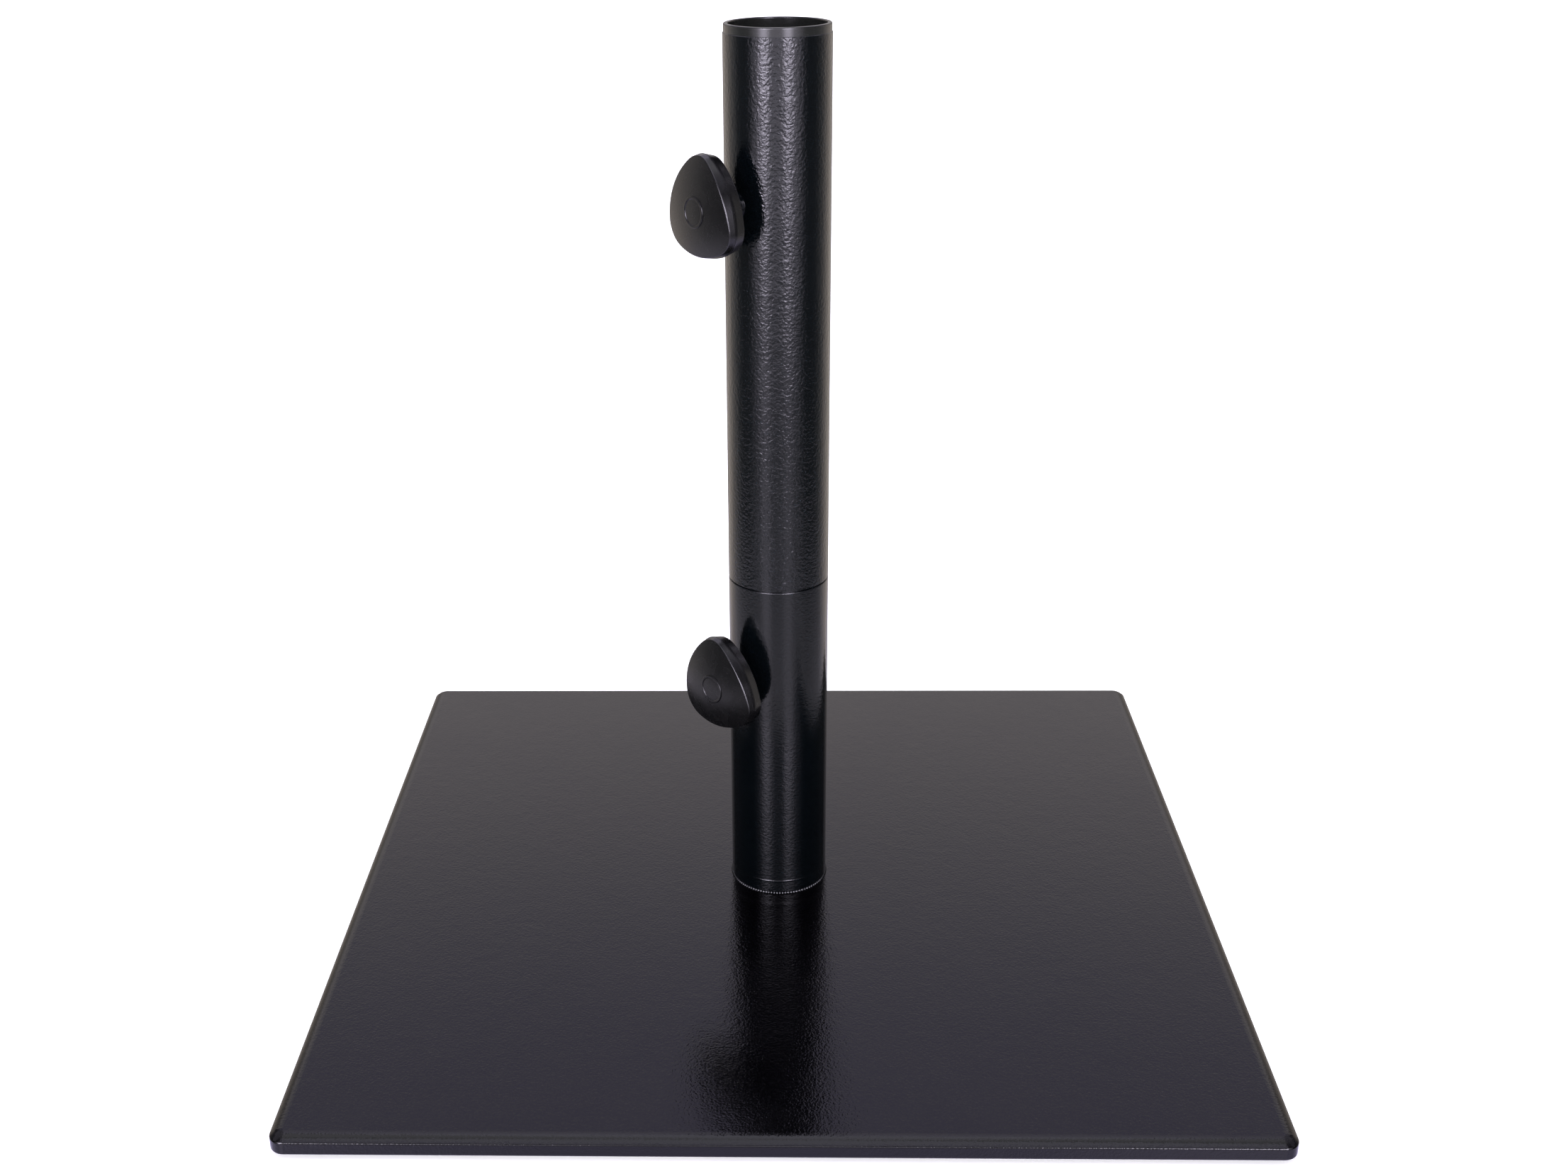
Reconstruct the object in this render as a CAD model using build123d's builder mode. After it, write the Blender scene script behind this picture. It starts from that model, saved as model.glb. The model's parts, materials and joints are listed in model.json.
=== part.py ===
from build123d import *

import os
from math import atan2, cos, degrees, radians, sin, sqrt

# Parasol base: a square steel plate that carries a two-section pole tube, each
# section with its own clamp knob. Millimetres, +Z up. The origin lies on the
# tube's axis, on the ground under the feet, and -Y is the front.

# ---- Driving dimensions ------------------------------------------------------

plate_side = 500.0
plate_thickness = 10.0
plate_corner_radius = 8.0
plate_roll_radius = 9.6  # the shears draw the top edge down in a long arc,
plate_roll_slope = 46.0  # which meets the edge's upright side at this slope
plate_arris_round = 1.0
plate_bottom_round = 1.2
drain_diameter = 10.0

foot_diameter = 30.0
foot_height = 2.5
foot_inset = 60.0  # from each edge of the plate to the foot's centre
foot_round = 0.7

tube_diameter = 56.0
tube_wall = 1.5
lower_tube_length = 184.5
upper_tube_length = 295.5
lower_edge_round = 0.5  # top edge of the lower tube
upper_edge_chamfer = 0.3  # both ends of the upper tube

foot_disc_height = 8.0
foot_disc_spigot = 6.5
foot_disc_lead = 1.0  # chamfer that leads the spigot into the tube
weld_prep = 1.2  # chamfer under the foot disc, which its weld fills
weld_overhang = 0.8
weld_belly_reach = 0.6  # out from the tube's outline to the middle of the bead
weld_belly_height = 0.7
seam_groove = 0.8  # depth and half width of the groove that the seam weld fills
seam_crown = 0.2

pole_bore = 50.6  # the free way through the collar and the coupling sleeve
slip_fit = 0.1  # radial, between the coupling sleeve and either tube
press_gap = 0.05  # radial, between pieces of one rigid group
sleeve_grip = 45.0  # length of the sleeve in each tube
sleeve_lead = 0.5
stop_ring_height = 0.5
stop_ring_diameter = 54.0

collar_lip_diameter = 55.2
collar_lip_height = 4.5
collar_lip_round = 0.8
collar_mouth_round = 0.6
collar_skirt_length = 25.0

# Clamp knob: a rounded triangle with bulging sides, its outline made of arcs.
knob_reach = 28.7  # from the centre to a corner
knob_side = 24.1  # from the centre to the middle of a side
knob_corner_radius = 14.0
knob_front_inset = 0.9  # how far the front rim is drawn in from the widest outline
knob_back_inset = 1.7
knob_crown = 2.7  # height of the domed face over the middle of a side's rim
knob_front_round = 0.7
knob_back_round = 0.8
knob_belly_round = 5.0
knob_shell = 2.2
knob_core_depth = 8.0
knob_rib = 2.0
parting_width = 0.3  # fine ridge that the mould leaves on the widest outline
overrun = 1.0  # how far a block of stock runs on into or past what trims it

# Stations along a clamp whose thrust pad is level with the pole's way, measured
# from the tube's axis.
knob_front_rim = 49.9
knob_widest = 45.0
knob_back_rim = 38.6
knob_hub_end = 35.4
screw_seat = 45.4
boss_top = 34.8
pad_face = 25.6

hub_diameter = 22.0
hub_recess_diameter = 16.2
hub_recess_depth = 7.0
cap_diameter = 16.4
cap_thickness = 1.8
cap_ring_width = 1.3
cap_ring_height = 0.35

screw_diameter = 7.9
screw_length = 18.0
screw_head_flats = 13.0
screw_head_height = 5.2
screw_tip_chamfer = 0.6
thread_bore_diameter = 8.05
boss_diameter = 15.0
boss_spigot_diameter = 10.0
boss_chamfer = 0.6
pad_diameter = 5.5
pad_length = 5.0
pad_bore_diameter = 5.66
pad_play = 0.3
pad_chamfer = 0.5

# Each clamp's height, its azimuth from straight front towards the left, how far
# the knob's top corner is turned from upright, and how far the screw is backed out.
clamps = {
    "lower": (150.7, 46.0, 8.0, 0.0),
    "upper": (416.7, 52.0, 0.0, 2.0),
}

# ---- Levels and radii that follow --------------------------------------------

plate_top = foot_height + plate_thickness
tube_start = plate_top + foot_disc_height
seam_level = tube_start + lower_tube_length
upper_start = seam_level + stop_ring_height
upper_end = upper_start + upper_tube_length

roll_width = plate_roll_radius * sin(radians(plate_roll_slope))
roll_drop = plate_roll_radius * (1 - cos(radians(plate_roll_slope)))
roll_middle = (
    plate_roll_radius * sin(radians(plate_roll_slope / 2)) - roll_width,
    plate_roll_radius * (cos(radians(plate_roll_slope / 2)) - 1),
)

tube_radius = tube_diameter / 2
tube_bore_radius = tube_radius - tube_wall
slip_radius = tube_bore_radius - slip_fit
spigot_hole_radius = boss_spigot_diameter / 2 + press_gap

os.makedirs("parts", exist_ok=True)


def clamp_plane(height, azimuth):
    """The plane through the tube's axis whose normal points out along a clamp."""
    outward = (-sin(radians(azimuth)), -cos(radians(azimuth)), 0)
    sideways = (cos(radians(azimuth)), -sin(radians(azimuth)), 0)
    return Plane(origin=(0, 0, height), x_dir=sideways, z_dir=outward)


def outer_rim(builder, end):
    """The widest circle at the builder's lowest (0) or highest (-1) level."""
    return builder.edges().group_by(Axis.Z)[end].sort_by(SortBy.RADIUS)[-1]


# ---- Base plate and feet -----------------------------------------------------

with BuildPart() as base_plate:
    with BuildSketch(Plane.XY.offset(foot_height)):
        RectangleRounded(plate_side, plate_side, plate_corner_radius)
        Circle(drain_diameter / 2, mode=Mode.SUBTRACT)
    extrude(amount=plate_thickness)
    # What the rolled edge leaves out, drawn square to the outline at its start and
    # run round it: x outwards from the side, y upwards from the top.
    outline = base_plate.faces().sort_by(Axis.Z)[-1].outer_wire()
    outwards = (outline % 0).cross(Vector(0, 0, 1))
    if outwards.dot(outline @ 0 - Vector(0, 0, plate_top)) < 0:
        outwards = -outwards
    section = Plane(outline @ 0, x_dir=outwards, z_dir=outwards.cross(Vector(0, 0, 1)))
    with BuildSketch(section):
        with BuildLine():
            ThreePointArc((-roll_width, 0), roll_middle, (0, -roll_drop))
            Polyline(
                (0, -roll_drop),
                (overrun, -roll_drop),
                (overrun, overrun),
                (-roll_width, overrun),
                (-roll_width, 0),
            )
        make_face()
    sweep(path=outline, transition=Transition.ROUND, mode=Mode.SUBTRACT)
    arris_level = plate_top - roll_drop
    arris = base_plate.edges().filter_by_position(
        Axis.Z, arris_level - press_gap, arris_level + press_gap
    )
    fillet(arris, plate_arris_round)
    bottom_face = base_plate.faces().sort_by(Axis.Z)[0]
    fillet(bottom_face.outer_wire().edges(), plate_bottom_round)

base_plate.part.label = "base_plate"
export_step(base_plate.part, "parts/base_plate.step")

foot_reach = plate_side / 2 - foot_inset
foot_places = {
    "front_left": (-foot_reach, -foot_reach),
    "front_right": (foot_reach, -foot_reach),
    "rear_left": (-foot_reach, foot_reach),
    "rear_right": (foot_reach, foot_reach),
}
for place_name, place in foot_places.items():
    with BuildPart() as foot:
        with BuildSketch():
            with Locations(place):
                Circle(foot_diameter / 2)
        extrude(amount=foot_height)
        fillet(foot.faces().sort_by(Axis.Z)[0].edges(), foot_round)

    foot.part.label = f"foot_{place_name}"
    export_step(foot.part, f"parts/foot_{place_name}.step")


# ---- Foot of the tube --------------------------------------------------------

# A turned disc closes the lower tube and centres it with a spigot.
with BuildPart() as foot_disc:
    with BuildSketch(Plane.XZ):
        with BuildLine():
            Polyline(
                (drain_diameter / 2, plate_top),
                (tube_radius - weld_prep, plate_top),
                (tube_radius, plate_top + weld_prep),
                (tube_radius, tube_start - seam_groove),
                (tube_radius - seam_groove, tube_start),
                (slip_radius, tube_start),
                (slip_radius, tube_start + foot_disc_spigot),
                (drain_diameter / 2, tube_start + foot_disc_spigot),
                close=True,
            )
        make_face()
    revolve(axis=Axis.Z)
    chamfer(outer_rim(foot_disc, -1), foot_disc_lead)

foot_disc.part.label = "foot_disc"
export_step(foot_disc.part, "parts/foot_disc.step")

# The bead under the disc fills the disc's chamfer and stands proud of it.
bead_root = (tube_radius - weld_prep, plate_top)
bead_toe = (tube_radius + weld_overhang, plate_top)
bead_belly = (tube_radius + weld_belly_reach, plate_top + weld_belly_height)
bead_top = (tube_radius, plate_top + weld_prep)

with BuildPart() as foot_weld:
    with BuildSketch(Plane.XZ):
        with BuildLine():
            Line(bead_root, bead_toe)
            ThreePointArc(bead_toe, bead_belly, bead_top)
            Line(bead_top, bead_root)
        make_face()
    revolve(axis=Axis.Z)

foot_weld.part.label = "foot_weld"
export_step(foot_weld.part, "parts/foot_weld.step")

# The seam weld joins disc and tube, and is dressed almost flush.
groove_root = (tube_radius - seam_groove, tube_start)
groove_low = (tube_radius, tube_start - seam_groove)
groove_crown = (tube_radius + seam_crown, tube_start)
groove_high = (tube_radius, tube_start + seam_groove)

with BuildPart() as seam_weld:
    with BuildSketch(Plane.XZ):
        with BuildLine():
            Line(groove_root, groove_low)
            ThreePointArc(groove_low, groove_crown, groove_high)
            Line(groove_high, groove_root)
        make_face()
    revolve(axis=Axis.Z)

seam_weld.part.label = "seam_weld"
export_step(seam_weld.part, "parts/seam_weld.step")


# ---- Tubes, coupling sleeve and collar ---------------------------------------

with BuildPart() as lower_tube:
    with BuildSketch(Plane.XY.offset(tube_start)):
        Circle(tube_radius)
        Circle(tube_bore_radius, mode=Mode.SUBTRACT)
    extrude(amount=lower_tube_length)
    chamfer(outer_rim(lower_tube, 0), seam_groove)
    fillet(outer_rim(lower_tube, -1), lower_edge_round)
    with BuildSketch(clamp_plane(*clamps["lower"][:2])):
        Circle(spigot_hole_radius)
    extrude(amount=tube_diameter, mode=Mode.SUBTRACT)

lower_tube.part.label = "lower_tube"
export_step(lower_tube.part, "parts/lower_tube.step")

with BuildPart() as upper_tube:
    with BuildSketch(Plane.XY.offset(upper_start)):
        Circle(tube_radius)
        Circle(tube_bore_radius, mode=Mode.SUBTRACT)
    extrude(amount=upper_tube_length)
    chamfer(outer_rim(upper_tube, 0), upper_edge_chamfer)
    chamfer(outer_rim(upper_tube, -1), upper_edge_chamfer)
    with BuildSketch(clamp_plane(*clamps["upper"][:2])):
        Circle(spigot_hole_radius)
    extrude(amount=tube_diameter, mode=Mode.SUBTRACT)

upper_tube.part.label = "upper_tube"
export_step(upper_tube.part, "parts/upper_tube.step")

# The sleeve hangs in the lower tube by a thin ring that parts the two tubes.
with BuildPart() as coupling_sleeve:
    with BuildSketch(Plane.XY.offset(seam_level - sleeve_grip)):
        Circle(slip_radius)
        Circle(pole_bore / 2, mode=Mode.SUBTRACT)
    extrude(amount=2 * sleeve_grip + stop_ring_height)
    chamfer(outer_rim(coupling_sleeve, 0), sleeve_lead)
    chamfer(outer_rim(coupling_sleeve, -1), sleeve_lead)
    with BuildSketch(Plane.XY.offset(seam_level)):
        Circle(stop_ring_diameter / 2)
        Circle(pole_bore / 2, mode=Mode.SUBTRACT)
    extrude(amount=stop_ring_height)

coupling_sleeve.part.label = "coupling_sleeve"
export_step(coupling_sleeve.part, "parts/coupling_sleeve.step")

with BuildPart() as top_collar:
    with BuildSketch(Plane.XY.offset(upper_end)):
        Circle(collar_lip_diameter / 2)
        Circle(pole_bore / 2, mode=Mode.SUBTRACT)
    extrude(amount=collar_lip_height)
    with BuildSketch(Plane.XY.offset(upper_end - collar_skirt_length)):
        Circle(tube_bore_radius - press_gap)
        Circle(pole_bore / 2, mode=Mode.SUBTRACT)
    extrude(amount=collar_skirt_length)
    fillet(outer_rim(top_collar, -1), collar_lip_round)
    mouth = top_collar.edges().group_by(Axis.Z)[-1].sort_by(SortBy.RADIUS)[0]
    fillet(mouth, collar_mouth_round)

top_collar.part.label = "top_collar"
export_step(top_collar.part, "parts/top_collar.step")


# ---- Clamps ------------------------------------------------------------------


def knob_outline(turn, inset=0.0):
    """The knob's rounded triangle as a flat sketch, drawn in all round by inset."""
    corner_offset = knob_reach - knob_corner_radius
    side_gap = knob_side - knob_corner_radius
    side_offset = (side_gap**2 - corner_offset**2) / (corner_offset - 2 * side_gap)
    half_side = degrees(
        atan2(corner_offset * sqrt(3) / 2, corner_offset / 2 + side_offset)
    )
    with BuildSketch() as outline:
        with BuildLine():
            for corner in (90 + turn, 210 + turn, 330 + turn):
                side = corner + 60
                CenterArc(
                    Vector(corner_offset, 0).rotate(Axis.Z, corner),
                    knob_corner_radius - inset,
                    corner - 60 + half_side,
                    120 - 2 * half_side,
                )
                CenterArc(
                    Vector(-side_offset, 0).rotate(Axis.Z, side),
                    knob_side + side_offset - inset,
                    side - half_side,
                    2 * half_side,
                )
        make_face()
    return outline.sketch


rim_reach = knob_side - knob_front_inset
crown_radius = (rim_reach**2 + knob_crown**2) / (2 * knob_crown)
crown_top = knob_front_rim + knob_crown
front_slope = knob_front_inset / (knob_front_rim - knob_widest)
dome_stock = knob_crown + overrun
cap_seat = crown_top - cap_thickness
hub_recess_end = knob_hub_end + hub_recess_depth
screw_tip = screw_seat - screw_length


def make_knob(plane, turn):
    """Moulded knob: domed face, bulging sides, a hub, and a back cored between ribs."""
    widest = knob_outline(turn)
    stock_end = knob_outline(turn, knob_front_inset + front_slope * dome_stock)
    back_rim = knob_outline(turn, knob_back_inset)
    core = knob_outline(turn, knob_back_inset + knob_shell)
    clamp_axis = Axis(plane.origin, plane.z_dir)
    with BuildPart() as knob:
        with BuildSketch(plane.offset(knob_widest)):
            add(widest)
        with BuildSketch(plane.offset(knob_front_rim + dome_stock)):
            add(stock_end)
        loft(ruled=True)
        with BuildSketch(plane.offset(knob_back_rim)):
            add(back_rim)
        with BuildSketch(plane.offset(knob_widest)):
            add(widest)
        loft(ruled=True)
        with Locations(plane.offset(crown_top - crown_radius)):
            Sphere(crown_radius, mode=Mode.INTERSECT)
        fillet(knob.faces().filter_by(GeomType.SPHERE).edges(), knob_front_round)
        back_face = knob.faces().sort_by(clamp_axis)[0]
        fillet(back_face.edges(), knob_back_round)
        belly = knob.edges().filter_by_position(
            clamp_axis, knob_widest - press_gap, knob_widest + press_gap
        )
        fillet(belly, knob_belly_round)
        with BuildSketch(plane.offset(knob_widest - parting_width / 2)):
            add(widest)
        extrude(amount=parting_width)
        with BuildSketch(plane.offset(knob_back_rim)):
            add(core)
            Circle(hub_diameter / 2, mode=Mode.SUBTRACT)
            with PolarLocations(0, 3, start_angle=turn + 30):
                Rectangle(2 * knob_reach, knob_rib, mode=Mode.SUBTRACT)
        extrude(amount=knob_core_depth, mode=Mode.SUBTRACT)
        with BuildSketch(plane.offset(knob_hub_end)):
            Circle(hub_diameter / 2)
        extrude(amount=knob_back_rim - knob_hub_end + overrun)
        with BuildSketch(plane.offset(knob_hub_end)):
            Circle(hub_recess_diameter / 2)
        extrude(amount=hub_recess_depth, mode=Mode.SUBTRACT)
        with BuildSketch(plane.offset(hub_recess_end)):
            Circle(screw_diameter / 2 + press_gap)
        extrude(amount=screw_seat - hub_recess_end, mode=Mode.SUBTRACT)
        with BuildSketch(plane.offset(screw_seat)):
            RegularPolygon(screw_head_flats / 2 + press_gap, 6, major_radius=False)
        extrude(amount=cap_seat - screw_seat, mode=Mode.SUBTRACT)
        with BuildSketch(plane.offset(cap_seat)):
            Circle(cap_diameter / 2)
        extrude(amount=2 * cap_thickness, mode=Mode.SUBTRACT)
    return knob.part


def make_cap(plane):
    """Round cap over the screw's head, domed like the knob, with a raised ring."""
    ring_radius = cap_diameter / 2 - press_gap
    with BuildPart() as cap:
        with BuildSketch(plane.offset(cap_seat)):
            Circle(ring_radius)
        extrude(amount=2 * cap_thickness)
        with Locations(plane.offset(crown_top - crown_radius)):
            Sphere(crown_radius + cap_ring_height, mode=Mode.INTERSECT)
        with BuildSketch(plane.offset(crown_top - cap_ring_height)):
            Circle(ring_radius - cap_ring_width)
        extrude(amount=2 * cap_thickness, mode=Mode.SUBTRACT)
    return cap.part


def make_screw(plane):
    """Hexagon screw, its head in the knob's pocket and a socket in its tip."""
    with BuildPart() as screw:
        with BuildSketch(plane.offset(screw_seat)):
            RegularPolygon(screw_head_flats / 2, 6, major_radius=False)
        extrude(amount=screw_head_height)
        with BuildSketch(plane.offset(screw_tip)):
            Circle(screw_diameter / 2)
        extrude(amount=screw_length)
        tip_edge = screw.edges().group_by(Axis(plane.origin, plane.z_dir))[0]
        chamfer(tip_edge, screw_tip_chamfer)
        with BuildSketch(plane.offset(screw_tip)):
            Circle(pad_bore_diameter / 2)
        extrude(amount=pad_length - (screw_tip - pad_face) + pad_play, mode=Mode.SUBTRACT)
    return screw.part


def make_pad(plane):
    """Plastic thrust pad that sits in the screw's tip and bears on the pole."""
    with BuildPart() as pad:
        with BuildSketch(plane.offset(pad_face)):
            Circle(pad_diameter / 2)
        extrude(amount=pad_length)
        face_edge = pad.edges().group_by(Axis(plane.origin, plane.z_dir))[0]
        chamfer(face_edge, pad_chamfer)
    return pad.part


def make_boss(plane):
    """Threaded boss: saddle foot on the tube, and a spigot through its wall."""
    tube_piece = Plane.XY.offset(plane.origin.Z - boss_diameter)
    with BuildPart() as boss:
        with BuildSketch(plane.offset(tube_bore_radius / 2)):
            Circle(boss_diameter / 2)
        extrude(amount=boss_top - tube_bore_radius / 2)
        with BuildSketch(tube_piece):
            Circle(tube_radius)
        extrude(amount=2 * boss_diameter, mode=Mode.SUBTRACT)
        top_edge = boss.edges().group_by(Axis(plane.origin, plane.z_dir))[-1]
        chamfer(top_edge, boss_chamfer)
        with BuildSketch(plane.offset(tube_bore_radius / 2)):
            Circle(boss_spigot_diameter / 2)
        extrude(amount=boss_top - boss_chamfer - tube_bore_radius / 2)
        with BuildSketch(tube_piece):
            Circle(tube_bore_radius)
        extrude(amount=2 * boss_diameter, mode=Mode.SUBTRACT)
        with BuildSketch(plane):
            Circle(thread_bore_diameter / 2)
        extrude(amount=2 * boss_top, mode=Mode.SUBTRACT)
    return boss.part


for clamp_name, (height, azimuth, knob_turn, backed_out) in clamps.items():
    tube_clamp = clamp_plane(height, azimuth)
    screw_plane = tube_clamp.offset(backed_out)
    pieces = {
        "threaded_boss": make_boss(tube_clamp),
        "clamp_screw": make_screw(screw_plane),
        "thrust_pad": make_pad(screw_plane),
        "knob": make_knob(screw_plane, knob_turn),
        "knob_cap": make_cap(screw_plane),
    }
    for piece_name, piece in pieces.items():
        piece.label = f"{clamp_name}_{piece_name}"
        export_step(piece, f"parts/{clamp_name}_{piece_name}.step")
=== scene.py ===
"""Looks of the parasol base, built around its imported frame. Metres, +Z up, -Y front."""

import json
import math
from random import Random

import bmesh
import bpy
from mathutils import Matrix, Vector


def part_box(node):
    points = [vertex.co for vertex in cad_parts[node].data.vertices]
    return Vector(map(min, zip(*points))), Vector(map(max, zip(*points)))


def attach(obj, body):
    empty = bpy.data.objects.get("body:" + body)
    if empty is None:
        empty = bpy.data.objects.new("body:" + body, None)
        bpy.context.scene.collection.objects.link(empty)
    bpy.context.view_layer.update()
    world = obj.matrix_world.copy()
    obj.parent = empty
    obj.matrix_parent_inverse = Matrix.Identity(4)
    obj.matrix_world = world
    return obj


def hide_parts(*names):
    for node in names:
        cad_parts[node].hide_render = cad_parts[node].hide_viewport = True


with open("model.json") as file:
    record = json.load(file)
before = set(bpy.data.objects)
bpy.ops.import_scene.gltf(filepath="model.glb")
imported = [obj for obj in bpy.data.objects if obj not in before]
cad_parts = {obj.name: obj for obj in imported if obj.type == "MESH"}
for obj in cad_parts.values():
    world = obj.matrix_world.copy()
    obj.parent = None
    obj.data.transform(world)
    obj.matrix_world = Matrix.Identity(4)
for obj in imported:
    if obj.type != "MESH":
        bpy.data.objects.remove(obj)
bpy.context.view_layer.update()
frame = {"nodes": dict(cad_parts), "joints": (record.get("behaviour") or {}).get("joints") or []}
nodes = frame["nodes"]
joints = {joint["name"]: joint for joint in frame["joints"]}

MM = 0.001
TURN = 2 * math.pi


# ---- Node helpers ------------------------------------------------------------


def add_node(tree, kind, inputs=None, **settings):
    """A shader node with its settings, and its inputs given as values or as sockets."""
    node = tree.nodes.new(kind)
    for key, value in settings.items():
        setattr(node, key, value)
    for key, value in (inputs or {}).items():
        if isinstance(value, bpy.types.NodeSocket):
            tree.links.new(value, node.inputs[key])
        else:
            node.inputs[key].default_value = value
    return node


def math_node(tree, operation, *values):
    inputs = dict(enumerate(values))
    return add_node(tree, "ShaderNodeMath", inputs, operation=operation).outputs[0]


def vector_math(tree, operation, inputs):
    node = add_node(tree, "ShaderNodeVectorMath", inputs, operation=operation)
    return node.outputs["Value" if operation == "DOT_PRODUCT" else "Vector"]


def remap(tree, value, low, high, out_low=0.0, out_high=1.0):
    """value from low..high to out_low..out_high, with soft ends."""
    node = add_node(
        tree,
        "ShaderNodeMapRange",
        {0: value, 1: low, 2: high, 3: out_low, 4: out_high},
        interpolation_type="SMOOTHSTEP",
    )
    return node.outputs[0]


def mix_colour(tree, factor, first, second):
    node = add_node(
        tree, "ShaderNodeMix", {0: factor, 6: first, 7: second}, data_type="RGBA"
    )
    return node.outputs[2]


def noise(tree, place, size, detail=2.0, roughness=0.5, distortion=0.0):
    """Noise with blobs of about the given size, in metres."""
    node = add_node(
        tree,
        "ShaderNodeTexNoise",
        {
            "Vector": place,
            "Scale": 1 / size,
            "Detail": detail,
            "Roughness": roughness,
            "Distortion": distortion,
        },
    )
    return node.outputs[0]


def bump(tree, height, depth, normal=None):
    """A bump whose height 0..1 stands for depth metres."""
    inputs = {"Strength": 1.0, "Distance": depth, "Height": height}
    if normal is not None:
        inputs["Normal"] = normal
    return add_node(tree, "ShaderNodeBump", inputs).outputs[0]


def new_material(name, **constants):
    """(material, node tree, its Principled shader, object coordinates)."""
    material = bpy.data.materials.new(name)
    material.use_nodes = True
    tree = material.node_tree
    shader = tree.nodes["Principled BSDF"]
    for key, value in constants.items():
        shader.inputs[key.replace("_", " ")].default_value = value
    place = add_node(tree, "ShaderNodeTexCoord").outputs["Object"]
    return material, tree, shader, place


def finish_shader(tree, shader, colour, roughness, normal):
    tree.links.new(colour, shader.inputs["Base Color"])
    tree.links.new(roughness, shader.inputs["Roughness"])
    tree.links.new(normal, shader.inputs["Normal"])


# ---- Materials ---------------------------------------------------------------

POLYMER_IOR = 1.5
NOISE_LOW, NOISE_HIGH = 0.3, 0.7  # most of a noise lies between these

FILM_SIZE = 35 * MM  # slow changes in a powder coat's colour and gloss
WAVES_PER_PEEL = 7  # a coat's waves are this many times as long as its orange peel
WAVE_SHARE = 0.6  # and as deep as this share of it
NIB_SPACING = 9 * MM
NIB_EDGE, NIB_CORE = 0.035, 0.012  # a dust nib's radii, as shares of the spacing
NIB_HEIGHT = 0.02 * MM
NIB_COLOUR = (0.012, 0.012, 0.013, 1)

FLOW_SIZE = 12 * MM  # flow marks of moulded plastic
FLOW_DEPTH = 0.01 * MM
DUST_SIZE = 1.1 * MM
DUST_START, DUST_FULL = 0.66, 0.78  # the noise values between which dust shows
DUST_GAIN, DUST_LIFT = 1.4, 0.003  # how much paler than the plastic it is

ZINC_DARK = (0.40, 0.41, 0.43, 1)
ZINC_LIGHT = (0.62, 0.62, 0.60, 1)
ZINC_ROUGHNESS = (0.26, 0.42)
ZINC_CLOUD_SIZE, ZINC_CLOUD_DEPTH = 4 * MM, 0.01 * MM
TURNING_PITCH, TURNING_DEPTH = 0.25 * MM, 0.008 * MM

RUBBER_BLACK = (0.012, 0.012, 0.012, 1)
RUBBER_DUSTY = (0.045, 0.042, 0.038, 1)
RUBBER_ROUGHNESS = (0.72, 0.9)
RUBBER_SKIN_SIZE, RUBBER_SKIN_DEPTH = 0.6 * MM, 0.05 * MM
PAVING_DUST_SIZE = 6 * MM
PAVING_DUST_START, PAVING_DUST_FULL = 0.45, 0.75


def powder_coat(name, dark, light, specular, peel_size, peel_depth, roughness):
    """Black polyester powder coat: orange peel, slow waves of the film, and dust nibs."""
    material, tree, shader, place = new_material(
        name, IOR=POLYMER_IOR, Specular_IOR_Level=specular
    )
    film = noise(tree, place, FILM_SIZE, detail=3.0)
    colour = mix_colour(tree, film, dark, light)
    cells = {"Vector": place, "Scale": 1 / NIB_SPACING}
    nibs = add_node(tree, "ShaderNodeTexVoronoi", cells).outputs["Distance"]
    nib = remap(tree, nibs, NIB_EDGE, NIB_CORE)
    colour = mix_colour(tree, nib, colour, NIB_COLOUR)
    rough = remap(tree, film, NOISE_LOW, NOISE_HIGH, *roughness)
    peel = noise(tree, place, peel_size, detail=1.5, roughness=0.45, distortion=0.4)
    normal = bump(tree, peel, peel_depth)
    waves = noise(tree, place, WAVES_PER_PEEL * peel_size, detail=1.0)
    normal = bump(tree, waves, WAVE_SHARE * peel_depth, normal)
    normal = bump(tree, nib, NIB_HEIGHT, normal)
    finish_shader(tree, shader, colour, rough, normal)
    return material


def moulded_plastic(name, dark, light, grain_size, grain_depth, roughness):
    """Moulded plastic: spark-eroded grain, slow flow marks, and a little dust."""
    material, tree, shader, place = new_material(name, IOR=POLYMER_IOR)
    flow = noise(tree, place, FLOW_SIZE, detail=3.0, distortion=1.2)
    grain = noise(tree, place, grain_size, detail=2.0, roughness=0.6)
    specks = noise(tree, place, DUST_SIZE, detail=4.0)
    dust = remap(tree, specks, DUST_START, DUST_FULL)
    colour = mix_colour(tree, flow, dark, light)
    dusty = tuple(min(1.0, DUST_GAIN * c + DUST_LIFT) for c in light[:3]) + (1,)
    colour = mix_colour(tree, dust, colour, dusty)
    rough = remap(tree, flow, NOISE_LOW, NOISE_HIGH, *roughness)
    normal = bump(tree, grain, grain_depth)
    normal = bump(tree, flow, FLOW_DEPTH, normal)
    finish_shader(tree, shader, colour, rough, normal)
    return material


def zinc_plate(name, along):
    """Bright zinc on turned steel: fine lines round the axis, and faint clouding."""
    material, tree, shader, place = new_material(name, Metallic=1.0)
    clouds = noise(tree, place, ZINC_CLOUD_SIZE, detail=4.0, roughness=0.6)
    colour = mix_colour(tree, clouds, ZINC_DARK, ZINC_LIGHT)
    station = vector_math(tree, "DOT_PRODUCT", {0: place, 1: along})
    combined = add_node(tree, "ShaderNodeCombineXYZ", {2: station}).outputs[0]
    lines = noise(tree, combined, TURNING_PITCH, detail=3.0, roughness=0.7)
    rough = remap(tree, clouds, NOISE_LOW, NOISE_HIGH, *ZINC_ROUGHNESS)
    normal = bump(tree, lines, TURNING_DEPTH)
    normal = bump(tree, clouds, ZINC_CLOUD_DEPTH, normal)
    finish_shader(tree, shader, colour, rough, normal)
    return material


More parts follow.
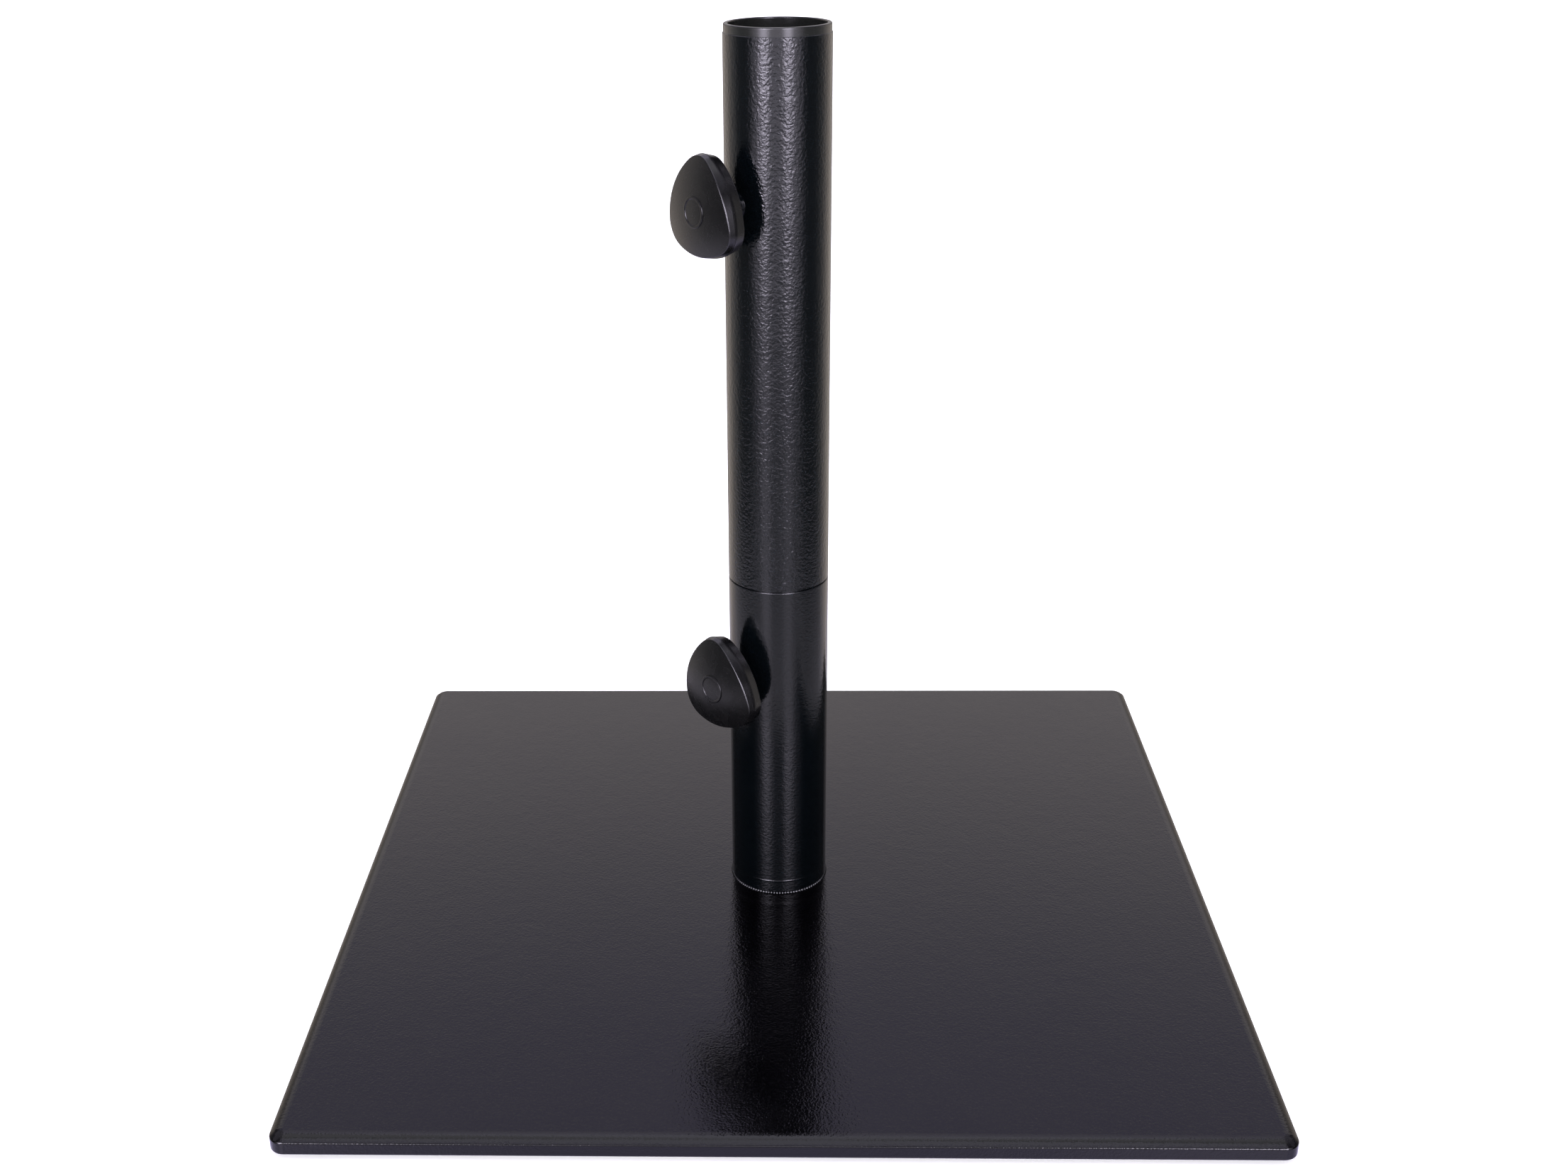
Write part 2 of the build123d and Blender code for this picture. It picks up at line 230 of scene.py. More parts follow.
def rubber(name):
    """Black rubber, matt, with a fine skin and paving dust on it."""
    material, tree, shader, place = new_material(name, IOR=POLYMER_IOR)
    skin = noise(tree, place, RUBBER_SKIN_SIZE, detail=3.0, roughness=0.6)
    specks = noise(tree, place, PAVING_DUST_SIZE, detail=5.0)
    dust = remap(tree, specks, PAVING_DUST_START, PAVING_DUST_FULL)
    colour = mix_colour(tree, dust, RUBBER_BLACK, RUBBER_DUSTY)
    rough = remap(tree, skin, NOISE_LOW, NOISE_HIGH, *RUBBER_ROUGHNESS)
    normal = bump(tree, skin, RUBBER_SKIN_DEPTH)
    finish_shader(tree, shader, colour, rough, normal)
    return material


TUBE_DARK = (0.0012, 0.0022, 0.0029, 1)
TUBE_LIGHT = (0.0016, 0.0027, 0.0035, 1)

plate_coating = powder_coat(
    "plate_coating_mat",
    dark=(0.0003, 0.0003, 0.0006, 1),
    light=(0.0007, 0.0006, 0.0010, 1),
    specular=0.30,
    peel_size=1.2 * MM,
    peel_depth=0.095 * MM,
    roughness=(0.10, 0.14),
)
tube_coating = powder_coat(
    "tube_coating_mat",
    dark=TUBE_DARK,
    light=TUBE_LIGHT,
    specular=0.50,
    peel_size=1.4 * MM,
    peel_depth=0.075 * MM,
    roughness=(0.12, 0.17),
)
upper_tube_coating = powder_coat(
    "upper_tube_coating_mat",
    dark=TUBE_DARK,
    light=TUBE_LIGHT,
    specular=0.50,
    peel_size=1.6 * MM,
    peel_depth=0.180 * MM,
    roughness=(0.12, 0.16),
)
knob_plastic = moulded_plastic(
    "knob_plastic_mat",
    dark=(0.0028, 0.0028, 0.0031, 1),
    light=(0.0044, 0.0043, 0.0045, 1),
    grain_size=0.35 * MM,
    grain_depth=0.006 * MM,
    roughness=(0.24, 0.30),
)
collar_plastic = moulded_plastic(
    "collar_plastic_mat",
    dark=(0.010, 0.011, 0.010, 1),
    light=(0.015, 0.016, 0.014, 1),
    grain_size=0.5 * MM,
    grain_depth=0.004 * MM,
    roughness=(0.17, 0.23),
)
pad_plastic = moulded_plastic(
    "pad_plastic_mat",
    dark=(0.62, 0.60, 0.54, 1),
    light=(0.74, 0.72, 0.66, 1),
    grain_size=0.3 * MM,
    grain_depth=0.010 * MM,
    roughness=(0.40, 0.50),
)
foot_rubber = rubber("foot_rubber_mat")


# ---- Mesh helpers ------------------------------------------------------------


def to_object(name, mesh_builder, material, smooth_angle=35.0):
    """A closed mesh object from a bmesh, smooth up to the given angle."""
    bmesh.ops.recalc_face_normals(mesh_builder, faces=mesh_builder.faces)
    limit = math.radians(smooth_angle)
    for edge in mesh_builder.edges:
        edge.smooth = edge.calc_face_angle(0.0) < limit
    for face in mesh_builder.faces:
        face.smooth = True
    mesh = bpy.data.meshes.new(name)
    mesh_builder.to_mesh(mesh)
    mesh_builder.free()
    mesh.materials.append(material)
    obj = bpy.data.objects.new(name, mesh)
    bpy.context.scene.collection.objects.link(obj)
    return obj


def lathe(name, material, profile, segments, place=None, closed=False):
    """Turned piece. profile(angle) gives (radius, height) points in metres; where closed
    is false its first and last points lie on the axis. place maps height to an axis."""
    builder = bmesh.new()
    rings = []
    place = place or Matrix.Identity(4)
    for step in range(segments):
        angle = TURN * step / segments
        rings.append(
            [
                (radius * math.cos(angle), radius * math.sin(angle), height)
                for radius, height in profile(angle)
            ]
        )
    count = len(rings[0])
    grid = [[None] * count for _ in range(segments)]
    for column in range(count):
        on_axis = not closed and column in (0, count - 1)
        for step in range(segments):
            if on_axis and step:
                grid[step][column] = grid[0][column]
            else:
                point = rings[step][column]
                grid[step][column] = builder.verts.new(place @ Vector(point))
    spans = count if closed else count - 1
    for step in range(segments):
        here, there = grid[step], grid[(step + 1) % segments]
        for column in range(spans):
            after = (column + 1) % count
            corners = [here[column], here[after], there[after], there[column]]
            # a face that meets the axis has two corners in one
            builder.faces.new(list(dict.fromkeys(corners)))
    return to_object(name, builder, material)


def arc(centre, radius, start, end, steps):
    """Points (r, z) on an arc between two angles in degrees."""
    angles = [math.radians(start + (end - start) * i / steps) for i in range(steps + 1)]
    return [
        (centre[0] + radius * math.cos(a), centre[1] + radius * math.sin(a))
        for a in angles
    ]


def stations(node, origin, outward):
    """Least and greatest distance of a CAD node's points from origin, along outward."""
    along = [(vertex.co - origin).dot(outward) for vertex in nodes[node].data.vertices]
    return min(along), max(along)


def dress(node, material):
    """Gives a CAD node its material."""
    for material_slot in nodes[node].material_slots:
        material_slot.material = material


# ---- CAD nodes that stay -----------------------------------------------------

for node_name, node_material in {
    "base_plate": plate_coating,
    "foot_disc": tube_coating,
    "lower_tube": tube_coating,
    "upper_tube": upper_tube_coating,
    "lower_threaded_boss": tube_coating,
    "upper_threaded_boss": upper_tube_coating,
    "top_collar": collar_plastic,
    "coupling_sleeve": tube_coating,
    "lower_knob": knob_plastic,
    "upper_knob": knob_plastic,
}.items():
    dress(node_name, node_material)


# ---- Weld beads --------------------------------------------------------------

WELD_SEED = 7
RIPPLES_ROUND = 104  # solidified ripples round the foot weld
RIPPLE_DRIFT = 1.5  # how far, in radians, the ripples run ahead and lag
STEPS_PER_RIPPLE = 8
BELLY_SPANS = 6  # in the foot weld's section, from toe to crown
BELLY_SWELL = 0.16 * MM
REACH_LEAST, REACH_SWING = 0.36, 0.60  # shares of the CAD weld's reach
RISE_LEAST, RISE_SWING = 0.45, 0.45  # shares of its rise
CROWN_LAP = 0.02 * MM  # how far the crown stands off the tube
# waves and greatest size of what makes the foot weld uneven
REACH_WAVES, REACH_UNEVEN = 24, 0.30 * MM
RISE_WAVES, RISE_UNEVEN = 18, 0.22 * MM

SEAM_SEGMENTS = 360
SEAM_SPANS = 8  # in the seam weld's outer side
SEAM_CROWN, SEAM_CROWN_MOST = 0.55, 0.95  # shares of the CAD seam's height
SEAM_CREST = 0.45  # width of the crown, as a share of half the seam
SEAM_WANDER = 0.4  # how far the crown may wander, as the same share
SEAM_SKIN = 0.01 * MM  # what the seam stands proud of the tube at the least
# waves and greatest size of what makes the seam's crown uneven: sideways, and in height
SIDEWAYS_WAVES, SIDEWAYS_UNEVEN = 30, 0.35 * MM
HEIGHT_WAVES, HEIGHT_UNEVEN, HEIGHT_DIP = 60, 0.6, 0.3  # in shares of the CAD height

_, disc_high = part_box("foot_disc")
tube_radius = disc_high.x
weld_low, weld_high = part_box("foot_weld")
seam_low, seam_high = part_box("seam_weld")
random = Random(WELD_SEED)


def ripple_table(count, spread):
    """Smooth random values round a circle, to make a hand-laid bead uneven."""
    waves = [
        (k, random.uniform(-1, 1) / k**0.5, random.uniform(0, TURN))
        for k in range(1, count)
    ]
    scale = spread / sum(abs(size) for _, size, _ in waves)
    return lambda angle: scale * sum(
        size * math.sin(k * angle + phase) for k, size, phase in waves
    )


foot_reach = weld_high.x - tube_radius
foot_rise = weld_high.z - weld_low.z
foot_root = tube_radius - foot_rise
uneven_reach = ripple_table(REACH_WAVES, REACH_UNEVEN)
uneven_rise = ripple_table(RISE_WAVES, RISE_UNEVEN)


def foot_bead(angle):
    """Section of the fillet weld: its toe and crown swell with each ripple."""
    phase = RIPPLES_ROUND * angle + RIPPLE_DRIFT * math.sin(3 * angle)
    ripple = abs(math.sin(phase / 2))
    reach = foot_reach * (REACH_LEAST + REACH_SWING * ripple)
    reach += min(0.0, uneven_reach(angle))
    rise = foot_rise * (RISE_LEAST + RISE_SWING * ripple)
    rise += min(0.0, uneven_rise(angle))
    toe = (tube_radius + reach, weld_low.z)
    crown = (tube_radius + CROWN_LAP, weld_low.z + rise)
    belly = []
    for i in range(1, BELLY_SPANS):
        share = i / BELLY_SPANS
        swell = BELLY_SWELL * math.sin(math.pi * share) * (0.5 + 0.5 * ripple)
        belly.append(
            (
                toe[0] + (crown[0] - toe[0]) * share + swell,
                toe[1] + (crown[1] - toe[1]) * share + swell,
            )
        )
    inside = (tube_radius - foot_rise + rise, weld_low.z + rise)
    return [(foot_root, weld_low.z), toe, *belly, crown, inside]


foot_weld = lathe(
    "foot_weld_bead",
    tube_coating,
    foot_bead,
    STEPS_PER_RIPPLE * RIPPLES_ROUND,
    closed=True,
)
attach(foot_weld, "base")
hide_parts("foot_weld")

seam_middle = (seam_low.z + seam_high.z) / 2
seam_half = (seam_high.z - seam_low.z) / 2
seam_crown = seam_high.x - tube_radius
uneven_seam = ripple_table(SIDEWAYS_WAVES, SIDEWAYS_UNEVEN)
uneven_crown = ripple_table(HEIGHT_WAVES, HEIGHT_UNEVEN * seam_crown)


def seam_bead(angle):
    """Section of the dressed seam weld, ground almost flush, in its V groove."""
    crown = seam_crown * SEAM_CROWN
    crown += max(-HEIGHT_DIP * seam_crown, uneven_crown(angle))
    crown = min(crown, SEAM_CROWN_MOST * seam_crown)
    wander = SEAM_WANDER * seam_half
    peak = seam_middle + max(-wander, min(wander, uneven_seam(angle)))
    low = (tube_radius, seam_middle - seam_half)
    high = (tube_radius, seam_middle + seam_half)
    root = (tube_radius - seam_half, seam_middle)
    outer = []
    for i in range(1, SEAM_SPANS):
        height = low[1] + (high[1] - low[1]) * i / SEAM_SPANS
        bulge = math.exp(-(((height - peak) / (SEAM_CREST * seam_half)) ** 2))
        outer.append((tube_radius + max(SEAM_SKIN, crown * bulge), height))
    return [root, low, *outer, high]


seam_weld = lathe(
    "seam_weld_bead", tube_coating, seam_bead, SEAM_SEGMENTS, closed=True
)
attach(seam_weld, "base")
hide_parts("seam_weld")


# ---- Feet --------------------------------------------------------------------

FOOT_SEGMENTS = 72
FOOT_RIM = 0.7 * MM  # round of the lower edge
FOOT_TOP_ROUND = 0.3 * MM
DIMPLE_DEPTH, DIMPLE_FLAT, DIMPLE_RIM = 0.5 * MM, 2.6 * MM, 3.2 * MM
GROOVE_RADII = (6.5 * MM, 10.2 * MM)
GROOVE_HALF, GROOVE_DEPTH = 0.8 * MM, 0.7 * MM
GROOVE_FLOOR = 0.6  # width of the groove's floor, as a share of its mouth


def foot_profile(radius, height):
    """Rubber foot: rounded lower edge, two grooves and a dimple in the sole."""
    points = [(0, DIMPLE_DEPTH), (DIMPLE_FLAT, DIMPLE_DEPTH), (DIMPLE_RIM, 0)]
    for middle in GROOVE_RADII:
        points += [
            (middle - GROOVE_HALF, 0),
            (middle - GROOVE_FLOOR * GROOVE_HALF, GROOVE_DEPTH),
            (middle + GROOVE_FLOOR * GROOVE_HALF, GROOVE_DEPTH),
            (middle + GROOVE_HALF, 0),
        ]
    points += arc((radius - FOOT_RIM, FOOT_RIM), FOOT_RIM, -90, 0, 5)
    top_centre = (radius - FOOT_TOP_ROUND, height - FOOT_TOP_ROUND)
    points += arc(top_centre, FOOT_TOP_ROUND, 0, 90, 3)
    points.append((0, height))
    return points


for corner in ("front_left", "front_right", "rear_left", "rear_right"):
    foot_low, foot_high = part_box(f"foot_{corner}")
    middle = (foot_low + foot_high) / 2
    outline = foot_profile((foot_high.x - foot_low.x) / 2, foot_high.z - foot_low.z)
    foot = lathe(
        f"rubber_foot_{corner}",
        foot_rubber,
        lambda angle: outline,
        FOOT_SEGMENTS,
        Matrix.Translation((middle.x, middle.y, foot_low.z)),
    )
    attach(foot, "base")
    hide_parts(f"foot_{corner}")


# ---- Clamp screws, pads and caps ---------------------------------------------

THREAD_PITCH = 1.25 * MM
THREAD_DEPTH = 0.62 * MM
THREAD_STEPS = 10  # rows of points in one pitch
THREAD_SEGMENTS = 48
THREAD_SLOPE, THREAD_CREST = 1.25, 0.12  # how steep the flank is, and its flat crest
THREAD_RUN_OUT = 0.9 * MM
SCREW_RADIUS = 3.95 * MM
SCREW_CHAMFER = 0.25 * MM
SCREW_NECK = 0.5 * MM  # plain length under the head
SOCKET_RADIUS, SOCKET_DEPTH = 2.83 * MM, 3.5 * MM  # the pad's seat in the tip
HEAD_HEIGHT, HEAD_FLATS = 5.2 * MM, 13.0 * MM
CORNERS_PER_FLATS = 1.1547  # a hexagon's width across corners over that across flats
HEAD_LOWER_CHAMFER = (0.9 * MM, 0.45 * MM)  # radial, axial
HEAD_UPPER_CHAMFER = (1.0 * MM, 0.55 * MM)
SCREW_SMOOTH_ANGLE = 32.0

PAD_SEGMENTS = 48
PAD_DIMPLE = ((0.25 * MM, 0.0), (0.2 * MM, 0.9 * MM), (0.0, 1.3 * MM))  # depth, radius
PAD_RADIUS = 2.75 * MM
PAD_FACE_ROUND, PAD_BACK_ROUND = 0.5 * MM, 0.2 * MM

CAP_SEGMENTS = 96
CAP_RADIUS = 8.15 * MM
CAP_DOME_RADIUS = 101.79 * MM
CAP_RING_WIDTH = 1.3 * MM
CAP_RING_DROP = 0.35 * MM  # from the ring down to the middle
CAP_EDGE_ROUND = 0.2 * MM
CAP_RING_ROUND = 0.22 * MM
# the ring's inner flank: (distance out from its middle, drop), both in mm
CAP_RING_FLANK = ((0.08, 0.06), (-0.04, 0.24), (-0.20, 0.35))
CAP_SPANS = 10  # in the domed middle


def thread_radius(radius, station, angle):
    """Radius of a thread with flat crests and roots. It winds left-handed, which the
    real screw's thread doesn't."""
    share = (station / THREAD_PITCH + angle / TURN) % 1.0
    flank = THREAD_SLOPE * abs(2 * share - 1) - THREAD_CREST
    return radius - THREAD_DEPTH * min(1.0, max(0.0, flank))


def clamp_screw(name, material, place, tip, seat, top):
    """Hexagon screw with a modelled thread, a chamfered head and a socket in its tip."""
    builder = bmesh.new()
    rows = []
    angles = [TURN * i / THREAD_SEGMENTS for i in range(THREAD_SEGMENTS)]

    def ring(radii, z):
        rows.append(
            [
                builder.verts.new(
                    place @ Vector((r * math.cos(a), r * math.sin(a), z))
                )
                for r, a in zip(radii, angles)
            ]
        )

    def circle(radius, z):
        ring([radius] * THREAD_SEGMENTS, z)

    def hexagon(z, shrink):
        """A ring on the hexagon, cut back to a circle where the head is chamfered."""
        across = HEAD_FLATS / 2
        limit = across * CORNERS_PER_FLATS - shrink
        sides = [(a + math.pi / 6) % (math.pi / 3) - math.pi / 6 for a in angles]
        ring([min(across / math.cos(side), limit) for side in sides], z)

    core = SCREW_RADIUS - THREAD_DEPTH
    circle(SOCKET_RADIUS, tip + SOCKET_DEPTH)
    circle(SOCKET_RADIUS, tip + SCREW_CHAMFER)
    circle(SOCKET_RADIUS + SCREW_CHAMFER, tip)
    circle(core, tip)
    threaded = seat - THREAD_RUN_OUT - tip
    for row in range(1, int(threaded / THREAD_PITCH * THREAD_STEPS) + 1):
        z = tip + row * THREAD_PITCH / THREAD_STEPS
        lead = min(1.0, (z - tip) / THREAD_RUN_OUT)
        tail = min(1.0, (seat - THREAD_RUN_OUT - z) / THREAD_RUN_OUT)
        cut = max(0.0, min(lead, tail))
        ring(
            [core + cut * (thread_radius(SCREW_RADIUS, z, a) - core) for a in angles],
            z,
        )
    circle(core, seat - SCREW_NECK)
    circle(core + SCREW_CHAMFER, seat)
    hexagon(seat, HEAD_LOWER_CHAMFER[0])
    hexagon(seat + HEAD_LOWER_CHAMFER[1], 0.0)
    hexagon(top - HEAD_UPPER_CHAMFER[1], 0.0)
    hexagon(top, HEAD_UPPER_CHAMFER[0])
    for low, high in zip(rows, rows[1:]):
        for i in range(THREAD_SEGMENTS):
            j = (i + 1) % THREAD_SEGMENTS
            builder.faces.new([low[i], low[j], high[j], high[i]])
    builder.faces.new(rows[0])
    builder.faces.new(rows[-1])
    return to_object(name, builder, material, SCREW_SMOOTH_ANGLE)


def pad_profile(low, high):
    """Thrust pad: a dimpled face for the pole, and a plain back in the socket."""
    points = [(radius, low + depth) for depth, radius in PAD_DIMPLE]
    face_centre = (PAD_RADIUS - PAD_FACE_ROUND, low + PAD_FACE_ROUND)
    points += arc(face_centre, PAD_FACE_ROUND, -90, 0, 5)
    back_centre = (PAD_RADIUS - PAD_BACK_ROUND, high - PAD_BACK_ROUND)
    points += arc(back_centre, PAD_BACK_ROUND, 0, 90, 3)
    points.append((0, high))
    return points


def cap_profile(low, high):
    """Cap: a domed middle inside a raised ring, its edges rounded off."""
    dome_radius = CAP_DOME_RADIUS + CAP_RING_DROP
    dome_centre = high - CAP_DOME_RADIUS

    def dome(r, drop):
        return dome_centre + math.sqrt((dome_radius - drop) ** 2 - r * r)

    rim = CAP_RADIUS - CAP_EDGE_ROUND
    inner = CAP_RADIUS - CAP_RING_WIDTH
    points = [(0, low), (rim, low)]
    points += arc((rim, low + CAP_EDGE_ROUND), CAP_EDGE_ROUND, -90, 0, 3)
    outer_top = dome(CAP_RADIUS, 0.0)
    points += arc((rim, outer_top - CAP_EDGE_ROUND), CAP_EDGE_ROUND, 0, 80, 4)
    points.append((inner + CAP_RING_ROUND, dome(inner + CAP_RING_ROUND, 0.0)))
    for out, drop in CAP_RING_FLANK:
        points.append((inner + out * MM, dome(inner, drop * MM)))
    flat = points[-1][0]
    for i in range(1, CAP_SPANS):
        radius = flat * (1 - i / CAP_SPANS)
        points.append((radius, dome(radius, CAP_RING_DROP)))
    points.append((0, dome(0, CAP_RING_DROP)))
    return points


for side in ("lower", "upper"):
    joint = joints[f"{side}_knob_turn"]
    outward = -Vector(joint["axis"]).normalized()
    origin = Vector(joint["pos_m"])
    sideways = Vector((0, 0, 1)).cross(outward).normalized()
    upright = outward.cross(sideways)
    place = Matrix.Translation(origin) @ Matrix(
        (sideways, upright, outward)
    ).transposed().to_4x4()
    clamp, pad_body = f"{side}_clamp", f"{side}_pad"

    screw_low, screw_high = stations(f"{side}_clamp_screw", origin, outward)
    screw = clamp_screw(
        f"{side}_m8_screw",
        zinc_plate(f"{side}_screw_steel_mat", tuple(outward)),
        place,
        tip=screw_low,
        seat=screw_high - HEAD_HEIGHT,
        top=screw_high,
    )
    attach(screw, clamp)
    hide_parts(f"{side}_clamp_screw")

    pad_outline = pad_profile(*stations(f"{side}_thrust_pad", origin, outward))
    pad = lathe(
        f"{side}_nylon_pad", pad_plastic, lambda angle: pad_outline, PAD_SEGMENTS, place
    )
    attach(pad, pad_body)
    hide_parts(f"{side}_thrust_pad")

    cap_outline = cap_profile(*stations(f"{side}_knob_cap", origin, outward))
    cap = lathe(
        f"{side}_round_cap",
        knob_plastic,
        lambda angle: cap_outline,
        CAP_SEGMENTS,
        place,
    )
    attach(cap, clamp)
    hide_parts(f"{side}_knob_cap")


# ---- Floor -------------------------------------------------------------------

scene = bpy.context.scene

# The floor turns up into a low round wall far from the object.
FLAT_RADIUS, COVE_RADIUS, WALL_HEIGHT, FLOOR_SEGMENTS = 32.0, 8.0, 18.0, 64
COVE_ANGLES = range(0, 91, 15)


def studio_floor():
    """The floor's mesh: rings of points on the flat, the cove and the wall, joined."""
    rings = [
        (
            FLAT_RADIUS + COVE_RADIUS * math.sin(math.radians(angle)),
            COVE_RADIUS - COVE_RADIUS * math.cos(math.radians(angle)),
        )
        for angle in COVE_ANGLES
    ]
    rings.append((FLAT_RADIUS + COVE_RADIUS, WALL_HEIGHT))
    turns = [TURN * step / FLOOR_SEGMENTS for step in range(FLOOR_SEGMENTS)]
    builder = bmesh.new()
    rows = [
        [
            builder.verts.new((reach * math.cos(a), reach * math.sin(a), level))
            for a in turns
        ]
        for reach, level in rings
    ]
    builder.faces.new(rows[0])
    for low, high in zip(rows, rows[1:]):
        for i in range(FLOOR_SEGMENTS):
            j = (i + 1) % FLOOR_SEGMENTS
            # in this order the faces look inwards
            builder.faces.new([low[i], high[i], high[j], low[j]])
    for face in builder.faces:
        face.smooth = True
    mesh = bpy.data.meshes.new("studio_floor")
    builder.to_mesh(mesh)
    builder.free()
    return mesh


floor_mesh = studio_floor()
floor_mesh.materials.append(
    new_material(
        "studio_floor_mat",
        Roughness=0.9,
        Specular_IOR_Level=0.0,
        Base_Color=(0.86, 0.86, 0.86, 1),
        Emission_Color=(1, 1, 1, 1),
        Emission_Strength=0.5,
    )[0]
)
floor = bpy.data.objects.new("studio_floor", floor_mesh)
scene.collection.objects.link(floor)
floor.visible_glossy = False  # what shines shows the studio world instead


# ---- Light -------------------------------------------------------------------

overhead_data = bpy.data.lights.new("overhead", "SUN")
overhead_data.energy = 0.45
overhead_data.angle = math.radians(50)
overhead = bpy.data.objects.new("overhead", overhead_data)
scene.collection.objects.link(overhead)

# The world is the studio as gloss shows it, by direction: azimuth from the front,
# towards +X, and elevation, both in degrees. spread is the azimuth's size.
IN_DEGREES = 180 / math.pi
BLACK = (0, 0, 0, 1)

# Colours against elevation: the screen and the ceiling behind the object.
BACK_STOPS = (
    (0, (0.35, 0.33, 0.33, 1)),
    (12, (0.60, 0.57, 0.57, 1)),
    (22, (1.12, 1.04, 1.06, 1)),
    (26, (1.26, 1.16, 1.19, 1)),
    (33, (0.87, 0.84, 0.97, 1)),
    (39, (0.73, 0.67, 1.00, 1)),
    (50, (1.25, 1.18, 1.45, 1)),
    (61, (1.70, 1.62, 2.05, 1)),
    (70, (1.20, 1.15, 1.50, 1)),
    (90, (1.20, 1.15, 1.50, 1)),
)
# Colours against spread: the walls, dim at the sides and pale towards the back.
WALL_STOPS = (
    (78, (0.12, 0.12, 0.125, 1)),
    (92, (0.17, 0.17, 0.18, 1)),
    (106, (0.50, 0.48, 0.48, 1)),
    (128, (0.82, 0.73, 0.67, 1)),
    (146, (0.88, 0.78, 0.71, 1)),
    (160, (0.65, 0.59, 0.54, 1)),
)
FRONT_UPPER_WALL = (0.05, 0.05, 0.055, 1)
REAR_UPPER_WALL = (0.22, 0.21, 0.24, 1)
SIDE_CEILING = (0.80, 0.76, 0.92, 1)
FAR_FLOOR = (0.72, 0.68, 0.78, 1)
NEAR_FLOOR = (1.10, 1.02, 1.50, 1)
FAR_WALL_DIMMING, RIGHT_WALL_DIMMING = 0.35, 0.28
LAMP_COLOUR = (0.96, 0.90, 1.08)

# Lamps: azimuths of the two sides, softness of the sides, strength, the elevations
# between which the lamp fades in, and those between which it fades out.
LAMPS = (
    # two strip lights in front, and their glare on the floor
    ((-37, -21), 6, 11.4, (-13, -1), (29.4, 31.6)),
    ((14, 30), 6, 10.2, (-13, -1), (29.4, 31.6)),
    ((-39, -19), 8, 0.6, (-90, -60), (-12, -2)),
    ((12, 32), 8, 0.4, (-90, -60), (-12, -2)),
    # a dim wide screen between and beside them, and its glow lower down
    ((-52, 50), 14, 1.6, (-20, -6), (26, 34)),
    ((-56, 46), 14, 0.25, (-23, -20), (26, 34)),
    # the brightest part of the strips, which only edges and knob rims show
    ((-36, -13.5), 3, 16.0, (3, 7), (12, 16)),
    ((11.5, 30), 3, 16.0, (3, 7), (12, 16)),
    # the wider tops of the strips and of the screen
    ((-43, -13), 4, 5.0, (8, 18), (29.4, 31.6)),
    ((11, 38), 4, 5.5, (8, 18), (29.4, 31.6)),
    ((-50, 50), 12, 2.0, (8, 18), (29.4, 31.6)),
)

world = bpy.data.worlds.new("studio")
scene.world = world
world.use_nodes = True
sky = world.node_tree
direction = add_node(sky, "ShaderNodeTexCoord").outputs["Generated"]
x_axis, y_axis, z_axis = add_node(sky, "ShaderNodeSeparateXYZ", {0: direction}).outputs
forward = math_node(sky, "MULTIPLY", y_axis, -1.0)
azimuth = math_node(sky, "ARCTAN2", x_axis, forward)
azimuth = math_node(sky, "MULTIPLY", azimuth, IN_DEGREES)
spread = math_node(sky, "ABSOLUTE", azimuth)
elevation = math_node(sky, "ARCSINE", z_axis)
elevation = math_node(sky, "MULTIPLY", elevation, IN_DEGREES)


def angle_ramp(angle, full_scale, stops):
    """Colour against an angle, from (degrees, colour) stops in rising order."""
    share = math_node(sky, "DIVIDE", angle, full_scale)
    node = add_node(sky, "ShaderNodeValToRGB", {0: share})
    elements = node.color_ramp.elements
    for element, (stop, colour) in zip(elements, (stops[0], stops[-1])):
        element.position = stop / full_scale
        element.color = colour
    for stop, colour in stops[1:-1]:
        elements.new(stop / full_scale).color = colour
    return node.outputs[0]


def both(first, second):
    return math_node(sky, "MULTIPLY", first, second)


def either(first, second):
    return math_node(sky, "MAXIMUM", first, second)


# What lies behind the object. Its upper part reaches further round the sides, and the
# ceiling in front of the object is as light as that behind it.
rear_screen = remap(sky, spread, 160.0, 170.0)
upper_rear = both(remap(sky, spread, 138.0, 150.0), remap(sky, elevation, 8.0, 18.0))
ceiling = both(remap(sky, spread, 75.0, 45.0), remap(sky, elevation, 48.0, 55.0))
behind = either(either(rear_screen, upper_rear), ceiling)

# The walls end a little above the horizon, under a dim band and a pale side ceiling.
side_ceiling = both(remap(sky, spread, 65.0, 90.0), remap(sky, elevation, 32.0, 40.0))
rearwards = remap(sky, spread, 90.0, 112.0)
upper_wall = mix_colour(sky, rearwards, FRONT_UPPER_WALL, REAR_UPPER_WALL)
upper_wall = mix_colour(sky, side_ceiling, upper_wall, SIDE_CEILING)
wall_top = remap(sky, elevation, 26.0, 10.0)
walls = angle_ramp(spread, 180.0, WALL_STOPS)
wall_colour = mix_colour(sky, wall_top, upper_wall, walls)

